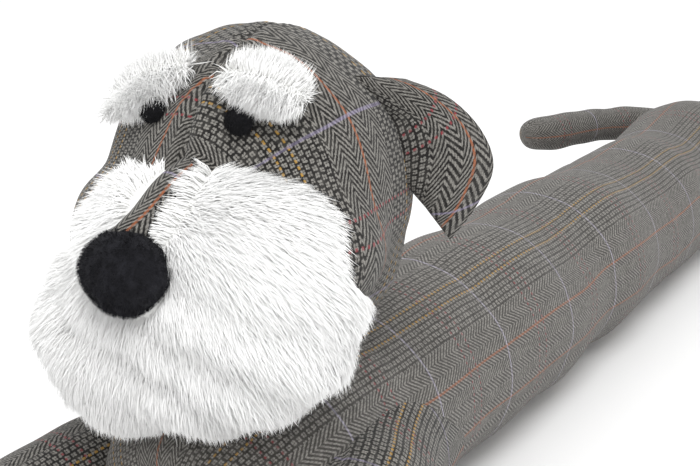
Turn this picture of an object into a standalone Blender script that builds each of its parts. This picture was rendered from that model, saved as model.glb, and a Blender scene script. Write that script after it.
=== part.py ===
"""Draught excluder in the shape of a lying dog: a long stuffed tweed body with two
forelegs stretched forward, a tweed head with a plush beard, brows, nose, eyes and
ears, and a stuffed tail.

Metres, +Z up. The dog faces -X, its left side is -Y, and it lies on Z = 0.
"""

import math

import bmesh
import bpy
import numpy as np
from mathutils import Vector

# Driving sizes, in metres
SEAT_GAP = 0.00035          # space kept between two pieces that touch
DESIGN_SHIFT = (0.010, 0.0)   # moves the middle of the outline to the origin

# Body: a stuffed tube, a row for each section: along, sideways, half width, half height
BODY_SECTIONS = (
    (-0.372, 0.000, 0.020, 0.018),
    (-0.366, 0.000, 0.042, 0.038),
    (-0.346, 0.000, 0.058, 0.054),
    (-0.310, 0.000, 0.065, 0.062),
    (-0.265, 0.000, 0.064, 0.062),
    (-0.215, 0.000, 0.062, 0.061),
    (-0.165, 0.000, 0.062, 0.061),
    (-0.115, 0.000, 0.063, 0.061),
    (-0.065, 0.000, 0.063, 0.061),
    (-0.015, 0.001, 0.062, 0.059),
    (0.035, 0.002, 0.061, 0.060),
    (0.085, 0.003, 0.062, 0.060),
    (0.135, 0.004, 0.060, 0.058),
    (0.185, 0.005, 0.058, 0.056),
    (0.235, 0.006, 0.058, 0.057),
    (0.285, 0.007, 0.056, 0.054),
    (0.330, 0.008, 0.057, 0.057),
    (0.375, 0.009, 0.057, 0.058),
    (0.415, 0.010, 0.055, 0.055),
    (0.446, 0.011, 0.046, 0.046),
    (0.466, 0.011, 0.030, 0.031),
    (0.473, 0.011, 0.014, 0.015),
)
BODY_SIDES = 14
BODY_END_HEIGHT = 0.0565    # middle of the small sections that round off both ends
BODY_END_SIZE = 0.050       # half height below which a section belongs to an end
FLOOR_SINK = 0.0035         # how far the filling is pressed flat where it lies

# Forelegs, the left one, a row for each section: along, sideways, height of the
# middle, half width, half height. The right one is its mirror image
LEG_SECTIONS = (
    (-0.140, 0.004, 0.046, 0.034, 0.034),
    (-0.180, 0.014, 0.047, 0.0425, 0.042),
    (-0.225, 0.026, 0.047, 0.042, 0.045),
    (-0.270, 0.042, 0.046, 0.041, 0.045),
    (-0.320, 0.061, 0.042, 0.040, 0.043),
    (-0.370, 0.078, 0.036, 0.038, 0.040),
    (-0.415, 0.091, 0.033, 0.037, 0.037),
    (-0.455, 0.098, 0.031, 0.036, 0.036),
    (-0.482, 0.102, 0.029, 0.029, 0.030),
    (-0.492, 0.104, 0.028, 0.016, 0.017),
)
LEG_SIDES = 10

# Head: radii are forward, sideways, up, measured from the middle of the head
HEAD_MIDDLE = (-0.290, 0.0, 0.200)
HEAD_SKULL = ((-0.004, 0.0, 0.0), (0.072, 0.069, 0.075))
HEAD_NECK = ((-0.030, 0.0, -0.040), (0.050, 0.050, 0.042))
HEAD_JOWL = ((0.032, 0.0, -0.018), (0.052, 0.077, 0.041))
HEAD_CUTS = 6

# Bridge of the snout, a ridge of the head's cloth that runs down to the nose, a row
# for each section: forward, up, half width, half height
BRIDGE_SECTIONS = (
    (0.040, 0.016, 0.017, 0.017),
    (0.056, 0.016, 0.016, 0.018),
    (0.072, 0.011, 0.015, 0.019),
    (0.088, 0.001, 0.0145, 0.019),
    (0.101, -0.009, 0.014, 0.017),
    (0.108, -0.016, 0.012, 0.013),
)
BRIDGE_SIDES = 10

# Beard: one deep pad around the snout, about a middle given from the head's
BEARD_MIDDLE = (0.049, -0.002, -0.0395)
BEARD_RADII = (0.060, 0.085, 0.070)
BEARD_ROLL = math.radians(8.0)   # the pad sits lower on the right cheek
BEARD_TOP_POWER = 2.15
BEARD_LOW_POWER = 2.5       # a higher power gives a squarer outline
BEARD_CUTS = 6
BEARD_LUMP = 0.0022

# Nose, eyes and brows, placed from the middle of the head
NOSE_PLACE = (0.106, 0.0, -0.016)
NOSE_RADII = (0.0165, 0.0215, 0.0195)
EYE_PLACE = (0.052, 0.023, 0.042)
EYE_RADIUS = 0.0085
EYE_THICK = 0.0055
BROW_ENDS = {"brow_left": ((0.047, 0.004, 0.066), (0.037, 0.056, 0.058)),
             "brow_right": ((0.042, -0.004, 0.068), (0.049, -0.054, 0.038))}
BROW_THICK = 0.013
BROW_TALL = 0.0145
BROW_LOCK = 0.07            # share of its size by which a lock stands out of its rim

# Ears, the left one, a row for each line across the flap: forward, left and up of
# its root, then of its outer edge
EAR_THICK = 0.006
EAR_BULGE = 0.007
EAR_SECTIONS = (
    (-0.010, 0.027, 0.053, -0.025, 0.063, 0.053),
    (-0.014, 0.038, 0.043, -0.037, 0.080, 0.043),
    (-0.019, 0.049, 0.038, -0.045, 0.092, 0.028),
    (-0.021, 0.054, 0.027, -0.048, 0.097, 0.011),
    (-0.023, 0.057, 0.016, -0.044, 0.091, -0.007),
    (-0.025, 0.060, 0.007, -0.037, 0.081, -0.024),
)

# Tail, a row for each section, as for the forelegs
TAIL_SECTIONS = (
    (0.450, 0.022, 0.070, 0.014, 0.014),
    (0.446, 0.056, 0.073, 0.015, 0.015),
    (0.425, 0.080, 0.077, 0.0145, 0.0145),
    (0.390, 0.094, 0.081, 0.014, 0.014),
    (0.350, 0.105, 0.084, 0.0145, 0.0145),
    (0.318, 0.114, 0.086, 0.0145, 0.0145),
    (0.302, 0.119, 0.087, 0.012, 0.012),
    (0.295, 0.121, 0.087, 0.006, 0.006),
)
TAIL_SIDES = 8


def clear_scene():
    """Remove whatever objects the file starts with."""
    for item in list(bpy.data.objects):
        bpy.data.objects.remove(item, do_unlink=True)


def new_collection(name):
    """Make a collection in the scene."""
    group = bpy.data.collections.new(name)
    bpy.context.scene.collection.children.link(group)
    return group


def make_finish(name, colour, roughness, metallic=0.0):
    """Make a plain Principled material."""
    finish = bpy.data.materials.new(name)
    finish.use_nodes = True
    shader = finish.node_tree.nodes["Principled BSDF"]
    shader.inputs["Base Color"].default_value = (*colour, 1.0)
    shader.inputs["Roughness"].default_value = roughness
    shader.inputs["Metallic"].default_value = metallic
    return finish


def finish_object(mesh_build, name, group, finish):
    """Turn a bmesh into a smooth-shaded object in a collection."""
    bmesh.ops.recalc_face_normals(mesh_build, faces=mesh_build.faces)
    if mesh_build.calc_volume(signed=True) < 0.0:
        bmesh.ops.reverse_faces(mesh_build, faces=mesh_build.faces)
    mesh = bpy.data.meshes.new(name)
    mesh_build.to_mesh(mesh)
    mesh_build.free()
    mesh.shade_smooth()
    item = bpy.data.objects.new(name, mesh)
    item.data.materials.append(finish)
    group.objects.link(item)
    return item


def add_subdivision(item, levels):
    """Smooth a coarse cage."""
    smooth = item.modifiers.new("Smooth", "SUBSURF")
    smooth.levels = levels
    smooth.render_levels = levels


def tube_form(name, sections, sides, group, finish):
    """Stuffed tube from a row for each section: middle, half width, half height."""
    rows = np.array(sections)
    middles = rows[:, :3]
    runs = np.gradient(middles, axis=0)
    runs /= np.linalg.norm(runs, axis=1, keepdims=True)
    across = np.cross(runs, (0.0, 0.0, 1.0))
    across /= np.linalg.norm(across, axis=1, keepdims=True)
    above = np.cross(across, runs)
    turn = np.linspace(0.0, 2.0 * math.pi, sides, endpoint=False)
    points = (middles[:, None, :]
              + rows[:, 3, None, None] * np.cos(turn)[None, :, None] * across[:, None, :]
              + rows[:, 4, None, None] * np.sin(turn)[None, :, None] * above[:, None, :])
    cage = bmesh.new()
    rings = [[cage.verts.new(point) for point in ring] for ring in points]
    for ring, following in zip(rings, rings[1:]):
        for index in range(sides):
            after = (index + 1) % sides
            cage.faces.new((ring[index], ring[after], following[after], following[index]))
    cage.faces.new(rings[0])
    cage.faces.new(rings[-1])
    item = finish_object(cage, name, group, finish)
    add_subdivision(item, 1)
    return item


def far_side(ways, middle, radii):
    """Distance from the origin along each unit way to an ellipsoid's far side, or 0."""
    scale = 1.0 / np.array(radii)
    heading = ways * scale
    start = -np.array(middle) * scale
    square = np.sum(heading * heading, axis=1)
    half = heading @ start
    rest = start @ start - 1.0
    inside = np.maximum(half * half - square * rest, 0.0)
    hit = (-half + np.sqrt(inside)) / square
    return np.where(inside > 0.0, np.maximum(hit, 0.0), 0.0)


def soft_union(distances, sharpness=9.0):
    """Blend several distances into one smooth outer surface."""
    stack = np.maximum(np.stack(distances), 1e-6)
    return np.sum(stack ** sharpness, axis=0) ** (1.0 / sharpness)


def ball_form(name, cuts, place, reach, group, finish, axes=np.eye(3)):
    """Closed form around a middle, whose surface lies at reach(ways) along each way.

    The ways are in the form's own axes. The place and the axes are forward, sideways
    to the dog's left, and up.
    """
    cage = bmesh.new()
    bmesh.ops.create_cube(cage, size=2.0)
    bmesh.ops.subdivide_edges(cage, edges=cage.edges[:], cuts=cuts, use_grid_fill=True)
    corners = np.array([vertex.co for vertex in cage.verts])
    ways = np.tan(corners * math.pi / 4.0)
    ways /= np.linalg.norm(ways, axis=1, keepdims=True)
    points = (ways * reach(ways)[:, None]) @ axes + np.array(place)
    for vertex, point in zip(cage.verts, points):
        vertex.co = from_head(point)
    item = finish_object(cage, name, group, finish)
    add_subdivision(item, 1)
    return item


def from_head(point):
    """World place of a point given forward, left and up from the head's middle."""
    return Vector((HEAD_MIDDLE[0] - point[0], HEAD_MIDDLE[1] - point[1],
                   HEAD_MIDDLE[2] + point[2]))


def mark_guide(item):
    """Show a guide as lines only."""
    item.hide_render = True
    item.display_type = "WIRE"


def make_cutter(item, name, group):
    """Guide copy of a piece, grown by the seat gap, for cutting its neighbours."""
    cutter = bpy.data.objects.new(name, item.data.copy())
    group.objects.link(cutter)
    for source in item.modifiers:
        if source.type == "SUBSURF":
            add_subdivision(cutter, source.levels)
        if source.type == "SOLIDIFY":
            wall = cutter.modifiers.new("Wall", "SOLIDIFY")
            wall.thickness = source.thickness
            wall.offset = source.offset
    swell = cutter.modifiers.new("Swell", "DISPLACE")
    swell.strength = SEAT_GAP
    swell.mid_level = 0.0
    mark_guide(cutter)
    return cutter


def join_in(item, guide):
    """Make a guide form part of a piece."""
    mark_guide(guide)
    joint = item.modifiers.new("Join " + guide.name, "BOOLEAN")
    joint.operation = "UNION"
    joint.solver = "EXACT"
    joint.object = guide


def cut_away(item, cutter):
    """Cut a neighbour's space out of a piece."""
    cut = item.modifiers.new("Seat on " + cutter.name, "BOOLEAN")
    cut.operation = "DIFFERENCE"
    cut.solver = "EXACT"
    cut.object = cutter


def make_floor(group):
    """Guide block under the floor that presses the filled pieces flat."""
    block = bmesh.new()
    bmesh.ops.create_cube(block, size=1.0)
    bmesh.ops.scale(block, vec=(1.6, 1.0, 0.2), verts=block.verts)
    bmesh.ops.translate(block, vec=(0.0, 0.0, -0.1), verts=block.verts)
    mesh = bpy.data.meshes.new("floor_cutter")
    block.to_mesh(mesh)
    block.free()
    floor = bpy.data.objects.new("floor_cutter", mesh)
    group.objects.link(floor)
    mark_guide(floor)
    return floor


def body_rows():
    """Sections of the body with the height of each middle worked out."""
    rows = []
    for along, sideways, half_width, half_height in BODY_SECTIONS:
        height = BODY_END_HEIGHT if half_height < BODY_END_SIZE else half_height - FLOOR_SINK
        rows.append((along, sideways, height, half_width, half_height))
    return rows


def leg_rows(side):
    """Sections of a foreleg: side is 1 for the dog's left and -1 for its right."""
    return [(along, -side * sideways, height, half_width, half_height)
            for along, sideways, height, half_width, half_height in LEG_SECTIONS]


def head_reach(ways):
    """Outer surface of the skull, the neck and the jowls."""
    return soft_union([far_side(ways, *form) for form in (HEAD_SKULL, HEAD_NECK, HEAD_JOWL)])


def bridge_rows():
    """Sections of the bridge as world places."""
    rows = []
    for forward, up, half_width, half_height in BRIDGE_SECTIONS:
        rows.append((*from_head((forward, 0.0, up)), half_width, half_height))
    return rows


def beard_reach(ways):
    """Outer surface of the deep pile, with soft lumps."""
    drop = 0.5 - 0.5 * np.tanh(4.0 * ways[:, 2])
    power = BEARD_TOP_POWER + (BEARD_LOW_POWER - BEARD_TOP_POWER) * drop
    ball = np.sum(np.abs(ways / BEARD_RADII) ** power[:, None], axis=1) ** (-1.0 / power)
    lumps = (np.sin(9.0 * ways[:, 1] + 5.0 * ways[:, 2] + 1.0)
             * np.sin(8.0 * ways[:, 2] - 4.0 * ways[:, 0] + 0.5))
    return ball + BEARD_LUMP * lumps


def nose_reach(ways):
    """Rounded triangular pad with a tuck at the bottom of its face."""
    ball = far_side(ways, (0.0, 0.0, 0.0), NOSE_RADII)
    narrow = 1.0 - 0.16 * np.clip(-ways[:, 2], 0.0, 1.0) * np.abs(ways[:, 1])
    tuck = np.exp(-(ways[:, 1] / 0.18) ** 2) * np.clip(-ways[:, 2], 0.0, 1.0)
    return ball * narrow * (1.0 - 0.16 * tuck)


def make_brow(name, group, finish):
    """Tuft laid along the forehead between two ends, with pointed locks at its rim."""
    inner, outer = (np.array(end) for end in BROW_ENDS[name])
    middle = 0.5 * (inner + outer)
    along = (outer - inner) / np.linalg.norm(outer - inner)
    proud = middle - along * (middle @ along)
    proud /= np.linalg.norm(proud)
    axes = np.stack((along, proud, np.cross(along, proud)))
    radii = (0.5 * np.linalg.norm(outer - inner), BROW_THICK, BROW_TALL)

    def reach(ways):
        angle = np.arctan2(ways[:, 2], ways[:, 0])
        locks = 1.0 + BROW_LOCK * np.sin(6.0 * angle + 0.8)
        return far_side(ways, (0.0, 0.0, 0.0), radii) * locks
    return ball_form(name, 3, middle, reach, group, finish, axes)


def make_ear(side, group, finish):
    """Hanging flap: its root lies on the head, its outer edge is rounded to a tip."""
    rows = np.array(EAR_SECTIONS)
    root = rows[:, None, :3]
    edge = rows[:, None, 3:]
    out = np.linspace(0.0, 1.0, 6)[None, :, None]
    bulge = EAR_BULGE * np.sin(math.pi * out) * np.array((0.7, 0.5, 0.3))
    points = (root + (edge - root) * out + bulge) * (1.0, side, 1.0)
    cage = bmesh.new()
    grid = [[cage.verts.new(from_head(point)) for point in row] for row in points]
    for row, following in zip(grid, grid[1:]):
        for index in range(len(row) - 1):
            cage.faces.new((row[index], row[index + 1], following[index + 1], following[index]))
    name = "ear_left" if side > 0 else "ear_right"
    item = finish_object(cage, name, group, finish)
    wall = item.modifiers.new("Wall", "SOLIDIFY")
    wall.thickness = EAR_THICK
    wall.offset = 0.0
    add_subdivision(item, 1)
    return item


def make_eye(side, group, finish):
    """Round felt eye, flattened against the forehead."""
    def reach(ways):
        return far_side(ways, (0.0, 0.0, 0.0), (EYE_THICK, EYE_RADIUS, EYE_RADIUS))
    place = np.array(EYE_PLACE) * (1.0, side, 1.0)
    name = "eye_left" if side > 0 else "eye_right"
    return ball_form(name, 1, place, reach, group, finish)


def main():
    """Build every piece and seat each on its neighbours."""
    clear_scene()
    pieces = new_collection("draught_excluder")
    guides = new_collection("guides")
    tweed = make_finish("Tweed", (0.20, 0.19, 0.18), 0.9)
    plush = make_finish("Plush", (0.86, 0.86, 0.85), 0.95)
    fleece = make_finish("Fleece", (0.012, 0.012, 0.014), 0.95)
    felt = make_finish("Felt", (0.015, 0.015, 0.018), 0.9)

    body = tube_form("body", body_rows(), BODY_SIDES, pieces, tweed)
    legs = [tube_form(name, leg_rows(side), LEG_SIDES, pieces, tweed)
            for name, side in (("foreleg_left", 1), ("foreleg_right", -1))]
    head = ball_form("head", HEAD_CUTS, (0.0, 0.0, 0.0), head_reach, pieces, tweed)
    roll = np.array(((1.0, 0.0, 0.0), (0.0, math.cos(BEARD_ROLL), math.sin(BEARD_ROLL)),
                     (0.0, -math.sin(BEARD_ROLL), math.cos(BEARD_ROLL))))
    beard = ball_form("beard", BEARD_CUTS, BEARD_MIDDLE, beard_reach, pieces, plush, roll)
    nose = ball_form("nose", 3, NOSE_PLACE, nose_reach, pieces, fleece)
    eyes = [make_eye(side, pieces, felt) for side in (1, -1)]
    brows = [make_brow(name, pieces, plush) for name in BROW_ENDS]
    ears = [make_ear(side, pieces, tweed) for side in (1, -1)]
    tail = tube_form("tail", TAIL_SECTIONS, TAIL_SIDES, pieces, tweed)

    body_cutter = make_cutter(body, "body_cutter", guides)
    bridge = tube_form("bridge_form", bridge_rows(), BRIDGE_SIDES, guides, tweed)
    head_cutter = make_cutter(head, "head_cutter", guides)
    bridge_cutter = make_cutter(bridge, "bridge_cutter", guides)
    nose_cutter = make_cutter(nose, "nose_cutter", guides)
    leg_cutters = [make_cutter(leg, leg.name + "_cutter", guides) for leg in legs]
    eye_cutters = [make_cutter(eye, eye.name + "_cutter", guides) for eye in eyes]
    floor = make_floor(guides)

    cut_away(body, floor)
    for leg in legs:
        cut_away(leg, body_cutter)
        cut_away(leg, floor)
    join_in(head, bridge)
    cut_away(head, body_cutter)
    for cutter in (head_cutter, bridge_cutter, nose_cutter, body_cutter, *leg_cutters):
        cut_away(beard, cutter)
    cut_away(nose, head_cutter)
    cut_away(nose, bridge_cutter)
    for eye, brow, eye_cutter in zip(eyes, brows, eye_cutters):
        cut_away(eye, head_cutter)
        cut_away(brow, head_cutter)
        cut_away(brow, eye_cutter)
    for ear in ears:
        cut_away(ear, head_cutter)
    cut_away(tail, body_cutter)

    holder = bpy.data.objects.new("draught_excluder_origin", None)
    pieces.objects.link(holder)
    holder.location = (*DESIGN_SHIFT, 0.0)
    for item in list(pieces.objects) + list(guides.objects):
        if item is not holder:
            item.parent = holder


main()
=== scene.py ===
"""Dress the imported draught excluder: a long stuffed dog of tweed with a plush beard.

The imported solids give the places. Each piece here is a finer surface built around the
same sections: woven tweed on the body, forelegs, head, ears and tail, long plush on the
beard and brows, short fleece on the nose and felt on the eyes.

Lengths are metres. The dog faces -X, its left side is -Y, and it lies on Z = 0. Places on
the head are given as (forward, left, up) from the middle of the head.
"""

import logging
import math
from dataclasses import dataclass, field
from enum import Enum
from typing import Callable

import bpy
import numpy as np
from mathutils import Matrix, Vector


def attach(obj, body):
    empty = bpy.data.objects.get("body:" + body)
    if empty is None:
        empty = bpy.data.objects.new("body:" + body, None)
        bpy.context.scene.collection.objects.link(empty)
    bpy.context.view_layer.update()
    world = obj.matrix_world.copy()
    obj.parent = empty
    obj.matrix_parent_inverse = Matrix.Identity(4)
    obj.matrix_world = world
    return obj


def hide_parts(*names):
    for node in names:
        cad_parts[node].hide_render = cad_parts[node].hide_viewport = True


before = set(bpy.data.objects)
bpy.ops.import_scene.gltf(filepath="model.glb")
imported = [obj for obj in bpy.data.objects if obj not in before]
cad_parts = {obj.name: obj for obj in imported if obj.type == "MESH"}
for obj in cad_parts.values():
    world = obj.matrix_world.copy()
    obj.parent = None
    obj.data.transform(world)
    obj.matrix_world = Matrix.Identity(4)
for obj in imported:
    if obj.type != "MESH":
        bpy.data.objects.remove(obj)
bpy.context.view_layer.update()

LOG = logging.getLogger("draught_excluder")

BODY = "root"
# Added to the places along X that the tables of sections give.
FORWARD_SHIFT = 0.010
HEAD_MIDDLE = np.array((-0.290 + FORWARD_SHIFT, 0.0, 0.200))
# Width of a yarn in metres, then the weave's repeat and the width of a warp end in yarns.
YARN = 0.00088
REPEAT = 96.0
END = 1.5
# Line of the strip down the snout: places forward, and how far left it lies at each.
STRIP = ((0.070, 0.090, 0.108), (0.0020, 0.0000, -0.0050))
# Share of its section that a skin fills before the lumps are added.
SNUG = 0.985

Array = np.ndarray


class Side(Enum):
    """The dog's two sides, as the sign of a place to its left."""

    LEFT = 1
    RIGHT = -1

    @property
    def word(self) -> str:
        """The side's name as it ends a piece's name."""
        return self.name.lower()


def unit(vectors: Array) -> Array:
    """Scale each vector in an array to length one."""
    return vectors / np.maximum(np.linalg.norm(vectors, axis=-1, keepdims=True), 1e-12)


def smooth_step(values: Array, low: float, high: float) -> Array:
    """Rise from 0 to 1 between two limits, with level ends: 3t² - 2t³."""
    share = np.clip((values - low) / (high - low), 0.0, 1.0)
    return share * share * (3.0 - 2.0 * share)


def from_head(points: Array) -> Array:
    """Turn places given forward, left and up from the head's middle into row places."""
    return HEAD_MIDDLE + points * (-1.0, -1.0, 1.0)


def from_strip(points: Array) -> Array:
    """How far each place lies left of the strip that runs down the snout."""
    return points[..., 1] - np.interp(points[..., 0], *STRIP)


def smooth_rows(rows: Array, count: int) -> Array:
    """Resample a table of sections on one smooth curve, evenly along its length.

    The curve between two rows is Catmull-Rom: a cubic through both, whose slope at each
    row is half the step between that row's neighbours.

    Args:
        rows: one row for each section.
        count: rows wanted.

    Returns:
        The table with count rows.
    """
    table = np.asarray(rows, float)
    ends = np.vstack((2.0 * table[0] - table[1], table, 2.0 * table[-1] - table[-2]))

    def at(where: Array) -> Array:
        piece = np.minimum(where.astype(int), len(table) - 2)
        t = (where - piece)[:, None]
        a, b, c, d = (ends[piece + step] for step in range(4))
        return 0.5 * (2.0 * b + (c - a) * t + (2.0 * a - 5.0 * b + 4.0 * c - d) * t ** 2
                      + (3.0 * b - a - 3.0 * c + d) * t ** 3)

    fine = np.linspace(0.0, len(table) - 1.0, 600)
    steps = np.linalg.norm(np.diff(at(fine), axis=0), axis=1)
    travel = np.concatenate(((0.0,), np.cumsum(steps)))
    return at(np.interp(np.linspace(0.0, travel[-1], count), travel, fine))


def ripples(points: Array, waves: float, seed: int, layers: int = 5) -> Array:
    """Soft random relief between about -1 and 1, the mean of sines in random directions.

    Args:
        points: places, in metres.
        waves: waves to a metre.
        seed: number that picks the directions and phases.
        layers: number of sines.

    Returns:
        One value for each place.
    """
    rng = np.random.default_rng(seed)
    ways = unit(rng.normal(size=(layers, 3)))
    pitch = waves * rng.uniform(0.7, 1.4, layers) * 2.0 * math.pi
    phase = rng.uniform(0.0, 2.0 * math.pi, layers)
    return np.sin((points @ ways.T) * pitch + phase).mean(axis=-1) * 1.6


def lumps(points: Array, *layers: tuple[float, float, int]) -> Array:
    """Relief of the filling, the sum of layers of ripples.

    Args:
        points: places, in metres.
        layers: waves to a metre, height in metres and seed of each layer.

    Returns:
        One height for each place.
    """
    return sum(ripples(points, waves, seed) * height for waves, height, seed in layers)


def outward_normals(rings: Array) -> Array:
    """Normals of a closed-around grid, from the cross product of its two directions."""
    around = np.roll(rings, -1, axis=1) - np.roll(rings, 1, axis=1)
    along = np.gradient(rings, axis=0)
    normals = unit(np.cross(around, along))
    middles = rings.mean(axis=1, keepdims=True)
    facing = np.sum(normals * (rings - middles))
    return normals if facing > 0.0 else -normals


def put_in_scene(name: str, points: Array, faces: list, material: bpy.types.Material,
                 cloth: Array | None = None) -> bpy.types.Object:
    """Make a smooth object at the origin from points, faces and loop coordinates.

    Args:
        name: the piece's name.
        points: one row for each vertex.
        faces: vertex numbers of each face.
        material: the piece's finish.
        cloth: the place in the cloth of each face corner, in face order.

    Returns:
        The object, linked to the scene.
    """
    mesh = bpy.data.meshes.new(name)
    mesh.from_pydata(points.tolist(), [], faces)
    if cloth is not None:
        layer = mesh.uv_layers.new(name="cloth")
        layer.data.foreach_set("uv", cloth.astype(np.float32).ravel())
    mesh.materials.append(material)
    mesh.shade_smooth()
    piece = bpy.data.objects.new(name, mesh)
    bpy.context.scene.collection.objects.link(piece)
    return piece


def wrapped_piece(name: str, rings: Array, cloth: Array,
                  material: bpy.types.Material) -> bpy.types.Object:
    """Close a grid of rings into a skin with a pole at each end.

    Args:
        name: the piece's name.
        rings: places, as rows along the piece by columns around it.
        cloth: the place in the cloth, with one column more than rings, so that the
            last column meets the first.
        material: the piece's finish.

    Returns:
        The object.
    """
    rows, columns = rings.shape[:2]
    row, column = np.meshgrid(np.arange(rows - 1), np.arange(columns), indexing="ij")
    after = (column + 1) % columns
    quads = np.stack((row * columns + column, row * columns + after,
                      (row + 1) * columns + after, (row + 1) * columns + column), axis=-1)
    quad_cloth = np.stack((cloth[row, column], cloth[row, column + 1],
                           cloth[row + 1, column + 1], cloth[row + 1, column]), axis=-2)
    ends = np.stack((rings[0].mean(axis=0), rings[-1].mean(axis=0)))
    points = np.concatenate((rings.reshape(-1, 3), ends))
    around = np.arange(columns)
    next_around = (around + 1) % columns
    last = (rows - 1) * columns
    caps = np.concatenate((
        np.stack((next_around, around, np.full(columns, rows * columns)), axis=-1),
        np.stack((last + around, last + next_around, np.full(columns, rows * columns + 1)),
                 axis=-1)))
    poles = [np.repeat(cloth[end, :-1].mean(axis=0)[None], columns, axis=0) for end in (0, -1)]
    cap_cloth = np.concatenate((
        np.stack((cloth[0, 1:], cloth[0, :-1], poles[0]), axis=1),
        np.stack((cloth[-1, :-1], cloth[-1, 1:], poles[1]), axis=1)))
    quads = quads.reshape(-1, 4)
    quad_cloth = quad_cloth.reshape(-1, 4, 2)
    middles = rings.mean(axis=1)
    first = points[quads]
    normals = np.cross(first[:, 1] - first[:, 0], first[:, 3] - first[:, 0])
    outward = np.sum(normals * (first.mean(axis=1) - middles[quads[:, 0] // columns]))
    if outward < 0.0:
        quads, quad_cloth = quads[:, ::-1], quad_cloth[:, ::-1]
        caps, cap_cloth = caps[:, ::-1], cap_cloth[:, ::-1]
    loops = np.concatenate((quad_cloth.reshape(-1, 2), cap_cloth.reshape(-1, 2)))
    return put_in_scene(name, points, quads.tolist() + caps.tolist(), material, loops)


@dataclass
class Tube:
    """Stuffed tube that follows a path, with an oval section that changes along it.

    A ring's point is middle + half width · cos(turn) · across + half height · sin(turn) ·
    above, where across is the run turned level and above is square to both.

    Args:
        sections: rows of along, sideways, height, half width and half height.
        rows: rings made along the tube.
        columns: points around each ring.
    """

    sections: tuple
    rows: int = 160
    columns: int = 72

    def rings(self) -> tuple[Array, Array, Array]:
        """Work out the rings.

        Returns:
            The rings, the turn of each column in radians, and how far along the skin
            each row is.
        """
        table = smooth_rows(self.sections, self.rows)
        middles = table[:, :3]
        runs = unit(np.gradient(middles, axis=0))
        across = unit(np.cross(runs, (0.0, 0.0, 1.0)))
        above = np.cross(across, runs)
        turn = np.linspace(0.0, 2.0 * math.pi, self.columns, endpoint=False)
        rings = (middles[:, None]
                 + table[:, 3, None, None] * np.cos(turn)[None, :, None] * across[:, None]
                 + table[:, 4, None, None] * np.sin(turn)[None, :, None] * above[:, None])
        steps = np.linalg.norm(np.diff(table[:, :4], axis=0), axis=1)
        return rings, turn, np.concatenate(((0.0,), np.cumsum(steps)))

    def cloth(self, turn: Array, travel: Array, start_turn: float, start: float,
              around: float) -> Array:
        """Lay the cloth around the tube with its warp along it.

        Args:
            turn: turn of each column, in radians.
            travel: how far along each row is.
            start_turn: turn at which a rust line lies, in degrees.
            start: how far along a lilac line lies.
            around: length of cloth in one full turn.

        Returns:
            Places in the cloth, with one column more than the rings.
        """
        full = np.append(turn, 2.0 * math.pi)
        across = (full - math.radians(start_turn)) / (2.0 * math.pi) * around
        return np.stack(np.broadcast_arrays(across[None, :], (travel - start)[:, None]), axis=-1)


def rest_on_floor(rings: Array, softness: float = 0.0012) -> Array:
    """Press whatever is below the floor flat, with a soft edge: s · ln(1 + e^(z / s))."""
    pressed = rings.copy()
    pressed[..., 2] = softness * np.logaddexp(0.0, rings[..., 2] / softness)
    return pressed


def far_side(ways: Array, middle: tuple, radii: tuple) -> Array:
    """Distance along each unit way to the far side of an ellipsoid, or 0 where it misses.

    With the ways and the middle scaled by the radii, the distance is the larger root of
    the square that puts a point on the unit ball.
    """
    scale = 1.0 / np.array(radii)
    heading = ways * scale
    start = -np.array(middle) * scale
    square = np.sum(heading * heading, axis=-1)
    half = heading @ start
    rest = start @ start - 1.0
    inside = np.maximum(half * half - square * rest, 0.0)
    hit = (-half + np.sqrt(inside)) / square
    return np.where(inside > 0.0, np.maximum(hit, 0.0), 0.0)


def soft_union(distances: list[Array], sharpness: float = 9.0) -> Array:
    """Blend several distances into one outer surface with a high power mean."""
    stack = np.maximum(np.stack(distances), 1e-6)
    return np.sum(stack ** sharpness, axis=0) ** (1.0 / sharpness)


@dataclass
class Ball:
    """Closed form around a middle, whose surface lies at reach(ways) along each way.

    Args:
        place: the middle, from the head's middle.
        reach: distance from the middle to the surface along unit ways in its own axes.
        axes: the form's own axes as rows, forward, left and up.
    """

    place: Array
    reach: Callable[[Array], Array]
    axes: Array = field(default_factory=lambda: np.eye(3))

    def points(self, ways: Array, lift: float | Array = 0.0) -> Array:
        """Places on the surface from the head's middle, lifted off it along each way."""
        return (ways * (self.reach(ways) + lift)[..., None]) @ self.axes + self.place

    def skin(self, name: str, rows: int, columns: int, material: bpy.types.Material,
             lift: Callable[[Array], Array] | None = None) -> bpy.types.Object:
        """Make the surface as a piece, with cloth places from the first two parts of the ways.

        Args:
            name: the piece's name.
            rows: rings along the form.
            columns: points around each ring.
            material: the piece's finish.
            lift: how far the skin lies off the surface, from the ways.

        Returns:
            The object.
        """
        ways = polar_ways(rows, columns)
        points = self.points(ways, lift(ways) if lift else 0.0)
        cloth = np.concatenate((ways, ways[:, :1]), axis=1)[..., :2]
        return wrapped_piece(name, from_head(points), cloth, material)

    def normals(self, ways: Array) -> Array:
        """Outward normals, the slope of (distance / reach), by central differences."""
        on = ways * self.reach(ways)[..., None]
        step = 0.0004
        slope = []
        for axis in np.eye(3):
            pair = []
            for sign in (1.0, -1.0):
                moved = on + sign * step * axis
                far = np.linalg.norm(moved, axis=-1)
                pair.append(far / self.reach(moved / far[..., None]))
            slope.append(pair[0] - pair[1])
        return unit(np.stack(slope, axis=-1)) @ self.axes

    def depth(self, points: Array) -> Array:
        """How far outside the surface each place lies, from the head's middle."""
        local = (points - self.place) @ self.axes.T
        far = np.maximum(np.linalg.norm(local, axis=-1), 1e-9)
        return far - self.reach(local / far[..., None])


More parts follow.
